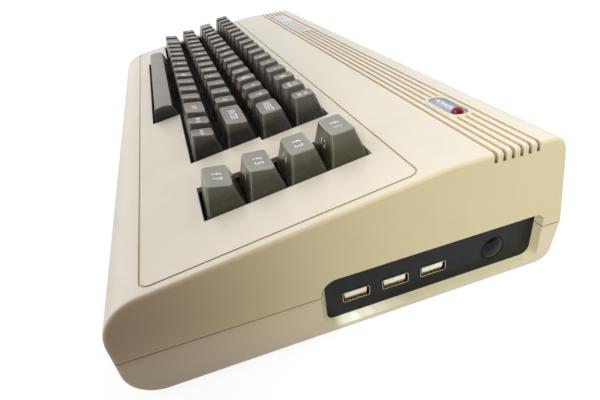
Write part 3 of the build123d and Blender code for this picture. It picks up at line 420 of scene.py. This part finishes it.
def new_piece(name, points, faces, finish, body, slot_name):
    mesh = bpy.data.meshes.new(name)
    mesh.from_pydata([tuple(point) for point in points], [], faces)
    mesh.materials.append(finishes[finish])
    mesh.update()
    piece = bpy.data.objects.new(name, mesh)
    bpy.context.scene.collection.objects.link(piece)
    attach(piece, body)
    return piece


def turned(u, v, turn, x, y):
    """The place u, v turned about the origin and then moved by x, y."""
    return x + u * cos(turn) - v * sin(turn), y + u * sin(turn) + v * cos(turn)


def ring(radius, sides, x, y, twist=0.0):
    turns = [2 * pi * (number + twist) / sides for number in range(sides)]
    return [(x + radius * cos(turn), y + radius * sin(turn)) for turn in turns]


class Flat:
    """Flat artwork in millimetres, gathered before it is laid on a surface."""

    CAPITALS = 0.73
    BOLD = 0.025

    def __init__(self):
        self.points = []
        self.faces = []

    def add(self, points, faces):
        start = len(self.points)
        self.points += points
        self.faces += [tuple(start + number for number in face) for face in faces]

    def bar(self, x, y, width, height, turn=0.0):
        corners = []
        for across, up in ((-1, -1), (1, -1), (1, 1), (-1, 1)):
            corners.append(turned(across * width / 2, up * height / 2, turn, x, y))
        self.add(corners, [(0, 1, 2, 3)])

    def box(self, x, y, size, line):
        reach = (size - line) / 2
        for side in (1, -1):
            self.bar(x, y + side * reach, size, line)
        for side in (-1, 1):
            self.bar(x + side * reach, y, line, size - 2 * line)

    def disc(self, x, y, radius, sides=16):
        self.add(ring(radius, sides, x, y), [tuple(range(sides))])

    def arrow(self, x, y, size, turn):
        """A stem with a head, pointing up when turn is 0."""
        head = ((-0.42, 0.0), (0.42, 0.0), (0.0, 0.55))
        stem = ((-0.13, -0.5), (0.13, -0.5), (0.13, 0.0), (-0.13, 0.0))
        for shape in (head, stem):
            corners = [turned(u * size, v * size, turn, x, y) for u, v in shape]
            self.add(corners, [tuple(range(len(corners)))])

    def words(self, text, x, y, height, spacing=1.0, squeeze=1.0, lean=0.0, bold=BOLD):
        """Plain lettering with capitals of that height, centred at x, y."""
        curve = bpy.data.curves.new("words", "FONT")
        curve.body = text
        curve.size = height / self.CAPITALS
        curve.resolution_u = 3
        curve.space_character = spacing
        curve.offset = bold * height
        helper = bpy.data.objects.new("words", curve)
        bpy.context.scene.collection.objects.link(helper)
        graph = bpy.context.evaluated_depsgraph_get()
        mesh = bpy.data.meshes.new_from_object(helper.evaluated_get(graph))
        xs = [vertex.co.x for vertex in mesh.vertices]
        middle = (min(xs) + max(xs)) / 2
        points = []
        for vertex in mesh.vertices:
            v = vertex.co.y - height / 2
            points.append((x + (vertex.co.x - middle) * squeeze + lean * v, y + v))
        self.add(points, [tuple(polygon.vertices) for polygon in mesh.polygons])
        bpy.data.objects.remove(helper)
        bpy.data.curves.remove(curve)
        bpy.data.meshes.remove(mesh)


trees = {}


def surface_of(node_name):
    """The node's surface, to lay artwork on."""
    if node_name not in trees:
        mesh = nodes[node_name].data
        points = [vertex.co.copy() for vertex in mesh.vertices]
        faces = [tuple(polygon.vertices) for polygon in mesh.polygons]
        trees[node_name] = BVHTree.FromPolygons(points, faces)
    return trees[node_name]


def lay(art, node_name, start, right, up, direction, lift):
    """Points and faces of art laid on a node: start is where its origin is seen from."""
    tree = surface_of(node_name)
    points = []
    for u, v in art.points:
        hit = tree.ray_cast(start + (right * u + up * v) * MM, direction)[0]
        if hit is None:
            raise SystemExit(node_name + ": artwork misses the surface")
        points.append(hit - direction * lift * MM)
    return points, art.faces


# ------------------------------------------------------------- key legends

# Node: row from the front, and the legend of each key on it from the left
legends = {
    "key_command": (0, ["squares"]),
    "key_left_shift": (0, ["SHIFT"]),
    "keys_z_x": (0, ["Z", "X"]),
    "keys_c_v": (0, ["C", "V"]),
    "keys_b_n": (0, ["B", "N"]),
    "keys_m_comma": (0, ["M", "<|,"]),
    "keys_dot_slash": (0, [">|.", "?|/"]),
    "key_right_shift": (0, ["SHIFT"]),
    "keys_cursor": (0, ["up_down", "left_right"]),
    "key_stop": (1, ["STOP"]),
    "key_shift_lock": (1, ["SHIFT|LOCK"]),
    "keys_a_s": (1, ["A", "S"]),
    "keys_d_f": (1, ["D", "F"]),
    "keys_g_h": (1, ["G", "H"]),
    "keys_j_k": (1, ["J", "K"]),
    "keys_l_colon": (1, ["L", "[|:"]),
    "keys_semicolon_equals": (1, ["]|;", "="]),
    "key_return": (1, ["ENTER"]),
    "key_control": (2, ["CTRL"]),
    "keys_q_w": (2, ["Q", "W"]),
    "keys_e_r": (2, ["E", "R"]),
    "keys_t_y": (2, ["T", "Y"]),
    "keys_u_i": (2, ["U", "I"]),
    "keys_o_p": (2, ["O", "P"]),
    "keys_at_star_up": (2, ["@", "*", "^"]),
    "key_reset": (2, ["RESET"]),
    "keys_back_1": (3, ["<-", "!|1"]),
    "keys_2_3": (3, ["\"|2", "#|3"]),
    "keys_4_5": (3, ["$|4", "%|5"]),
    "keys_6_7": (3, ["&|6", "'|7"]),
    "keys_8_9": (3, ["(|8", ")|9"]),
    "keys_0_plus": (3, ["0", "+"]),
    "keys_minus_hash": (3, ["-", "#"]),
    "keys_home_delete": (3, ["CLR|HOME", "INS|DEL"]),
}
function_legends = {
    "key_f7": (0, "7", "8"),
    "key_f5": (1, "5", "6"),
    "key_f3": (2, "3", "4"),
    "key_f1": (3, "1", "2"),
}
FRONT_MARKED = ("@", "*", "^")

# Lettering on a key: height in millimetres, spacing and squeeze
LETTER = (4.2, 1.0, 0.95)
UPPER_AND_LOWER = (3.0, 1.0, 0.95)
SMALL_WORDS = (2.3, 1.0, 0.85)
SHORT_WORD = (3.0, 1.05, 0.8)
LONG_WORD = (3.0, 1.05, 0.72)
WIDE_KEY_WORD = (3.9, 1.05, 0.9)
CURSOR_WORD = (1.9, 1.0, 0.7)
WORDS_ON_WIDE_KEYS = ("ENTER", "RESET")
SHORT_LENGTH = 4

# Places of the lettering above the middle of the key's top, in millimetres
LETTER_Y = 0.3
WORD_Y = 0.2
ARROW_Y = 0.4
UPPER_Y, LOWER_Y = 2.4, -2.1
SMALL_UPPER_Y, SMALL_LOWER_Y = 1.9, -1.5

# Figures on the keys, in millimetres
ARROW_SIZE = 4.0
CURSOR_ARROW_SIZE = 3.0
UPRIGHT_ARROW_X = 3.0
LEVEL_ARROW_X = 3.2
SQUARE_X = 1.1
SQUARE_SIZE = 1.8
SQUARE_LINE = 0.4
MARK_X = 2.1
MARK_SIZE = 2.8
MARK_LINE = 0.42
STROKE_WIDTH = 0.3
STROKE_LENGTH = 1.8
SLANT_LENGTH = 2.2
MARK_DOT_RADIUS = 0.6


def top_legend(art, text, x):
    """The legend on the top of a key whose middle is at x."""
    if text == "squares":
        for u in (-SQUARE_X, SQUARE_X):
            for v in (-SQUARE_X, SQUARE_X):
                art.box(x + u, v, SQUARE_SIZE, SQUARE_LINE)
    elif text in ("up_down", "left_right"):
        reach, turn = (UPRIGHT_ARROW_X, 0.0) if text == "up_down" else (LEVEL_ARROW_X, pi / 2)
        art.arrow(x - reach, 0.0, CURSOR_ARROW_SIZE, turn)
        art.words("CRSR", x, 0.0, *CURSOR_WORD)
        art.arrow(x + reach, 0.0, CURSOR_ARROW_SIZE, turn - pi)
    elif text in ("<-", "^"):
        art.arrow(x, ARROW_Y, ARROW_SIZE, pi / 2 if text == "<-" else 0.0)
    elif "|" in text:
        upper, lower = text.split("|")
        small = len(lower) > 2
        style = SMALL_WORDS if small else UPPER_AND_LOWER
        art.words(upper, x, SMALL_UPPER_Y if small else UPPER_Y, *style)
        art.words(lower, x, SMALL_LOWER_Y if small else LOWER_Y, *style)
    elif text in WORDS_ON_WIDE_KEYS:
        art.words(text, x, WORD_Y, *WIDE_KEY_WORD)
    elif len(text) > 1:
        art.words(text, x, WORD_Y, *(SHORT_WORD if len(text) <= SHORT_LENGTH else LONG_WORD))
    else:
        art.words(text, x, LETTER_Y, *LETTER)


def front_marks(art, x, seed):
    """Two small squares with a simple line or dot in each."""
    chance = random.Random(seed)
    for middle in (x - MARK_X, x + MARK_X):
        art.box(middle, 0.0, MARK_SIZE, MARK_LINE)
        kind = chance.randrange(4)
        if kind == 0:
            art.bar(middle, 0.0, STROKE_WIDTH, STROKE_LENGTH)
        elif kind == 1:
            art.bar(middle, 0.0, STROKE_LENGTH, STROKE_WIDTH)
        elif kind == 2:
            art.bar(middle, 0.0, SLANT_LENGTH, STROKE_WIDTH, pi / 4)
        else:
            art.disc(middle, 0.0, MARK_DOT_RADIUS)


def key_centres(node_name, count):
    """Middle of each key of a node across the panel, from the left, in millimetres."""
    left, right = (corner.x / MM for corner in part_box(node_name))
    if count == 1:
        return [(left + right) / 2]
    inset = (KEY_PITCH - CAP_GAP) / 2
    step = (right - left - 2 * inset) / (count - 1)
    return [left + inset + number * step for number in range(count)]


# How the artwork is laid on the keys, in millimetres: its lift off them, the middle of the tops
# behind that of the row, the distances from which it is laid, and the height of the front marks
KEY_LIFT = 0.05
TOP_SHIFT = 1.3
TOP_VIEW = 40
FRONT_VIEW = 30
MARKS_HEIGHT = 6.2
FUNCTION_MARKS_HEIGHT = 6.0

# Lettering of the function keys, in millimetres
FUNCTION_X = 2.3
FUNCTION_F_HEIGHT = 4.2
FUNCTION_DIGIT_HEIGHT = 4.0
FUNCTION_FRONT_X = 2.0
FUNCTION_FRONT_HEIGHT = 3.3


def top_piece(art, node_name, row, finish, slot_name):
    """Artwork laid on the tops of a node's keys from above."""
    start = panel_point(0, ROWS[row] + TOP_SHIFT, TOP_VIEW)
    laid = lay(art, node_name, start, ACROSS, UP_PANEL, -OUT, KEY_LIFT)
    new_piece("legend_" + node_name, *laid, finish, node_name, slot_name)


def front_piece(art, node_name, row, height, finish, slot_name):
    """Artwork laid on the front faces of a node's keys from the front."""
    start = panel_point(0, ROWS[row] - FRONT_VIEW, height)
    laid = lay(art, node_name, start, ACROSS, OUT, UP_PANEL, KEY_LIFT)
    new_piece("front_marks_" + node_name, *laid, finish, node_name, slot_name)


for node_name, (row, texts) in legends.items():
    tops = Flat()
    fronts = Flat()
    for number, (x, text) in enumerate(zip(key_centres(node_name, len(texts)), texts)):
        top_legend(tops, text, x)
        if len(text) == 1 and row < 3 or text in FRONT_MARKED:
            front_marks(fronts, x, node_name + str(number))
    top_piece(tops, node_name, row, "legend_ink", "key")
    if fronts.points:
        front_piece(fronts, node_name, row, MARKS_HEIGHT, "mark_ink", "key")

for node_name, (row, digit, second) in function_legends.items():
    x = key_centres(node_name, 1)[0]
    tops = Flat()
    tops.words("f", x - FUNCTION_X, LETTER_Y, FUNCTION_F_HEIGHT)
    tops.words(digit, x + FUNCTION_X, LETTER_Y, FUNCTION_DIGIT_HEIGHT)
    fronts = Flat()
    fronts.words("f", x - FUNCTION_FRONT_X, 0.0, FUNCTION_FRONT_HEIGHT)
    fronts.words(second, x + FUNCTION_FRONT_X, 0.0, FUNCTION_FRONT_HEIGHT)
    top_piece(tops, node_name, row, "function_ink", "function_key")
    front_piece(fronts, node_name, row, FUNCTION_MARKS_HEIGHT, "legend_ink", "function_key")


# ------------------------------------------------------ badges and the lamp

# Artwork on the badges, in millimetres: the word, the stripes of slanting rows of dashes, and the dots
WORD_X = 147.2
WORD_MIDDLE_Y = 72.5
WORD_HEIGHT = 2.9
WORD_LIFT = 0.04
STRIPE_LIFT = 0.03
DASH_LENGTH = 3.8
DASH_WIDTH = 1.35
DASH_PITCH = 4.4
DASH_LEAN = 1.1
FIRST_DASH_X = -77.0
FIRST_STRIPE_Y = 68.9
STRIPE_PITCH = 1.95
LONGEST_STRIPE = 14
DOTS_X = (-163.0, -157.0, -151.0)
DOTS_Y = 71.8
DOT_RADIUS = 1.9
BADGE_VIEW = 100


def badge_piece(name, art, node_name, lift, finish, slot_name):
    """Artwork laid on a badge from above."""
    start = Vector((0, 0, BADGE_VIEW * MM))
    laid = lay(art, node_name, start, ACROSS, REARWARD, DOWN, lift)
    new_piece(name, *laid, finish, "case", slot_name)


word = Flat()
word.words("POWER", WORD_X, WORD_MIDDLE_Y, WORD_HEIGHT, squeeze=1.12, lean=0.3, bold=0.04)
badge_piece("power_word", word, "power_badge", WORD_LIFT, "badge_ink", "badge")

for number, tint in enumerate(("teal", "sage", "sand", "rose")):
    stripe = Flat()
    for dash in range(LONGEST_STRIPE - number):
        x = FIRST_DASH_X - DASH_PITCH * dash - DASH_LEAN * number
        stripe.bar(x, FIRST_STRIPE_Y + STRIPE_PITCH * number, DASH_LENGTH, DASH_WIDTH)
    name = "badge_stripe_%d" % (number + 1)
    badge_piece(name, stripe, "name_badge", STRIPE_LIFT, "stripe_" + tint, "plate")
dots = Flat()
for x in DOTS_X:
    dots.disc(x, DOTS_Y, DOT_RADIUS)
badge_piece("badge_dots", dots, "name_badge", STRIPE_LIFT, "dot_ink", "plate")

# Cut lens over the power lamp: radius, height and twist of its rings, from the lowest
LENS_RINGS = ((2.86, 70.1, 0.0), (2.84, 71.0, 0.0), (2.5, 71.8, 0.5), (1.75, 72.45, 0.0), (0.8, 72.8, 0.5))
LENS_SIDES = 10


def faceted_lens():
    """A dome in rows of flat facets."""
    points = []
    for radius, height, twist in LENS_RINGS:
        for x, y in ring(radius, LENS_SIDES, LAMP_X, BADGE_Y, twist):
            points.append(Vector((x, y, height)) * MM)
    faces = []
    for k in range(LENS_SIDES):
        after = (k + 1) % LENS_SIDES
        faces.append((k, after, LENS_SIDES + after, LENS_SIDES + k))
        for row in (1, 2, 3):
            low = row * LENS_SIDES
            high = low + LENS_SIDES
            if row % 2:
                faces += [(low + k, low + after, high + k), (low + after, high + after, high + k)]
            else:
                faces += [(low + k, low + after, high + after), (low + k, high + after, high + k)]
    faces.append(tuple(4 * LENS_SIDES + k for k in range(LENS_SIDES)))
    new_piece("lamp_facets", points, faces, "lamp", "case", "lamp")


faceted_lens()


# --------------------------------------------------------------- USB details

# Under the tongue of each socket, in millimetres: its carrier and the ribs of its contacts
CARRIER_X = (186.0, 195.9)
CARRIER_Z = (13.45, 14.9)
CARRIER_REACH = 5.25
RIB_X = (194.5, 196.25)
RIB_Z = (13.5, 14.88)
RIB_REACH = 0.3
RIB_PITCH = 1.05
RIB_COUNT = 10
CARRIER_EDGE = 0.15
RIB_EDGE = 0.1


def add_box(boxes, across, middle, reach, up):
    """Add a box between two places along x and up, and as far to each side of the middle."""
    points, faces = boxes
    start = len(points)
    for z in up:
        for y in (middle - reach, middle + reach):
            points += [Vector((x, y, z)) * MM for x in across]
    sides = ((0, 2, 3, 1), (4, 5, 7, 6), (0, 1, 5, 4), (2, 6, 7, 3), (0, 4, 6, 2), (1, 3, 7, 5))
    faces += [tuple(start + number for number in side) for side in sides]


def soften(piece, width):
    """Round the edges of a piece by a width in millimetres."""
    modifier = piece.modifiers.new("soft_edges", "BEVEL")
    modifier.width = width * MM
    modifier.segments = 2
    modifier.limit_method = "ANGLE"


for number, socket_y in enumerate(SOCKETS_Y, 1):
    carrier = ([], [])
    add_box(carrier, CARRIER_X, socket_y, CARRIER_REACH, CARRIER_Z)
    soften(new_piece("usb_carrier_%d" % number, *carrier, "carrier_plastic", "case", "metal"), CARRIER_EDGE)
    ribs = ([], [])
    for k in range(RIB_COUNT):
        add_box(ribs, RIB_X, socket_y + (k - (RIB_COUNT - 1) / 2) * RIB_PITCH, RIB_REACH, RIB_Z)
    soften(new_piece("usb_contacts_%d" % number, *ribs, "contact_metal", "case", "metal"), RIB_EDGE)


# -------------------------------------------------------------------- stage

FLOOR_REACH = 4.0
FLOOR_COLOUR = (0.30, 0.26, 0.21, 1.0)
FLOOR_SHARE = 0.2
FLOOR_GLOW = 0.87
WHITE = (1.0, 1.0, 1.0, 1.0)

# The studio in reflections: white where the direction's x is below the first, dim above the second
WALL_WHITE = -0.1
WALL_DIM = 0.35
WALL_LEVEL = 0.15
WORLD_STRENGTH = 0.03


def floor_material():
    """White to the camera and in reflections, with a share of the real floor and its shadow."""
    m = Material("floor")
    rays = m.node("LightPath").outputs
    seen = m.math("MAXIMUM", rays["Is Camera Ray"], rays["Is Glossy Ray"])
    seen = m.math("MAXIMUM", seen, rays["Is Transmission Ray"])
    grain = m.mix(m.ramp(m.noise(6, 2.0), 0.3, 0.7), FLOOR_COLOUR, scaled(FLOOR_COLOUR, 0.96))
    matt = m.node("BsdfDiffuse", {"Color": grain})
    pale = m.node("BsdfDiffuse", {"Color": (FLOOR_SHARE, FLOOR_SHARE, FLOOR_SHARE, 1.0)})
    glow = m.node("Emission", {"Color": WHITE, "Strength": FLOOR_GLOW})
    white = m.node("AddShader", {0: glow.outputs[0], 1: pale.outputs[0]})
    both = m.node("MixShader", {0: seen, 1: matt.outputs[0], 2: white.outputs[0]})
    feed(m.tree, m.output.inputs["Surface"], both.outputs[0])
    return m.material


def floor():
    mesh = bpy.data.meshes.new("floor")
    corners = [(x * FLOOR_REACH, y * FLOOR_REACH, 0) for x, y in ((-1, -1), (1, -1), (1, 1), (-1, 1))]
    mesh.from_pydata(corners, [], [(0, 1, 2, 3)])
    mesh.materials.append(floor_material())
    made = bpy.data.objects.new("floor", mesh)
    bpy.context.scene.collection.objects.link(made)


def world():
    """White to the camera; reflections see a white studio on the left and a dim one on the right."""
    made = bpy.data.worlds.new("studio")
    bpy.context.scene.world = made
    made.use_nodes = True
    tree = made.node_tree
    tree.nodes.clear()
    rays = add_node(tree, "LightPath").outputs
    direction = add_node(tree, "SeparateXYZ", {0: add_node(tree, "TexCoord").outputs["Generated"]})
    wall = add_node(tree, "MapRange", {
        "Value": direction.outputs["X"],
        "From Min": WALL_WHITE,
        "From Max": WALL_DIM,
        "To Min": 1.0,
        "To Max": WALL_LEVEL,
    }, interpolation_type="SMOOTHSTEP").outputs["Result"]

    def larger(first, second):
        return add_node(tree, "Math", {0: first, 1: second}, operation="MAXIMUM").outputs[0]

    clear = larger(rays["Is Camera Ray"], rays["Is Transmission Ray"])
    seen = larger(clear, rays["Is Glossy Ray"])
    dim = add_node(tree, "Background", {"Color": WHITE, "Strength": WORLD_STRENGTH})
    white = add_node(tree, "Background", {"Color": WHITE, "Strength": larger(clear, wall)})
    mixed = add_node(tree, "MixShader", {0: seen, 1: dim.outputs[0], 2: white.outputs[0]})
    output = add_node(tree, "OutputWorld", {"Surface": mixed.outputs[0]})
    output.is_active_output = True


# ------------------------------------------------------------------- lights

# Direction to each broad light, how many degrees wide it is, strength and colour
suns = {
    "left_light": ((-0.8, 0.1, 0.62), 120, 1.0, (1.0, 1.0, 1.0)),
    "top_light": ((-0.15, -0.1, 1.0), 120, 1.2, (1.0, 0.97, 0.94)),
    "front_light": ((-0.55, -0.85, 0.3), 60, 0.8, (0.94, 0.90, 1.0)),
    "low_light": ((0.32, -0.95, 0.08), 16, 0.45, (1.0, 0.95, 1.0)),
    "back_light": ((0.25, 0.95, 0.2), 60, 0.6, (1.0, 1.0, 0.95)),
}
# Place of each spot light, the point it is aimed at, cone in degrees, radius, power and colour
spots = {
    "rear_light": ((0.68, 0.22, 0.40), (0.2, 0.125, 0.03), 36, 0.08, 7.4, (0.90, 0.94, 1.0)),
    "side_light": ((0.66, -0.28, 0.34), (0.2, 0.150, 0.02), 38, 0.05, 8.2, (1.0, 0.96, 0.84)),
}
# Narrow lights along the front third of the recess ledge: place along it, and power
LEDGE_LIGHTS = ((-0.0062, 3.0), (0.0005, 2.2), (0.0075, 1.4), (0.0150, 0.7))
LEDGE_LIGHT_COLOUR = (0.58, 0.68, 1.0)
for number, (y, power) in enumerate(LEDGE_LIGHTS, 1):
    place, target = (0.327, y, 0.2775), (0.2, y, 0.0055)
    spots["ledge_light_%d" % number] = (place, target, 2.5, 0.001, power, LEDGE_LIGHT_COLOUR)


def add_light(name, kind, place, turn, **values):
    """A light with the values of its kind."""
    light = bpy.data.lights.new(name, kind)
    for key, value in values.items():
        setattr(light, key, value)
    made = bpy.data.objects.new(name, light)
    made.location = place
    made.rotation_euler = turn.to_euler()
    bpy.context.scene.collection.objects.link(made)


floor()
world()
for name, (direction, spread, strength, colour) in suns.items():
    turn = Vector(direction).to_track_quat("Z", "Y")
    add_light(name, "SUN", (0, 0, 0), turn, angle=radians(spread), energy=strength, color=colour)
for name, (place, target, cone, radius, power, colour) in spots.items():
    turn = (Vector(target) - Vector(place)).to_track_quat("-Z", "Y")
    shape = {"spot_size": radians(cone), "spot_blend": 1.0, "shadow_soft_size": radius}
    add_light(name, "SPOT", place, turn, energy=power, color=colour, **shape)


# ------------------------------------------------------------------- camera

# Place in millimetres, the directions to its right and ahead, and its focal length in pixels
CAMERA_PLACE = (326.538, -49.896, 156.037)
CAMERA_RIGHT = (0.30060946, 0.9458857, -0.12220554)
CAMERA_AHEAD = (-0.820935, 0.19139238, -0.53799134)
FOCAL_PIXELS = 434.0
IMAGE_WIDTH = 600.0
SENSOR_WIDTH = 36.0


def add_camera():
    """The photograph's camera."""
    camera = bpy.data.cameras.new("camera")
    camera.sensor_width = SENSOR_WIDTH
    camera.lens = FOCAL_PIXELS / IMAGE_WIDTH * SENSOR_WIDTH
    camera.clip_start = 0.005
    camera.clip_end = 50.0
    right = Vector(CAMERA_RIGHT)
    ahead = Vector(CAMERA_AHEAD)
    turn = Matrix((right, right.cross(ahead), -ahead)).transposed()
    made = bpy.data.objects.new("camera", camera)
    made.matrix_world = Matrix.Translation(Vector(CAMERA_PLACE) * MM) @ turn.to_4x4()
    bpy.context.scene.collection.objects.link(made)
    return made


bpy.context.scene.camera = add_camera()
bpy.context.scene.view_settings.view_transform = "Standard"
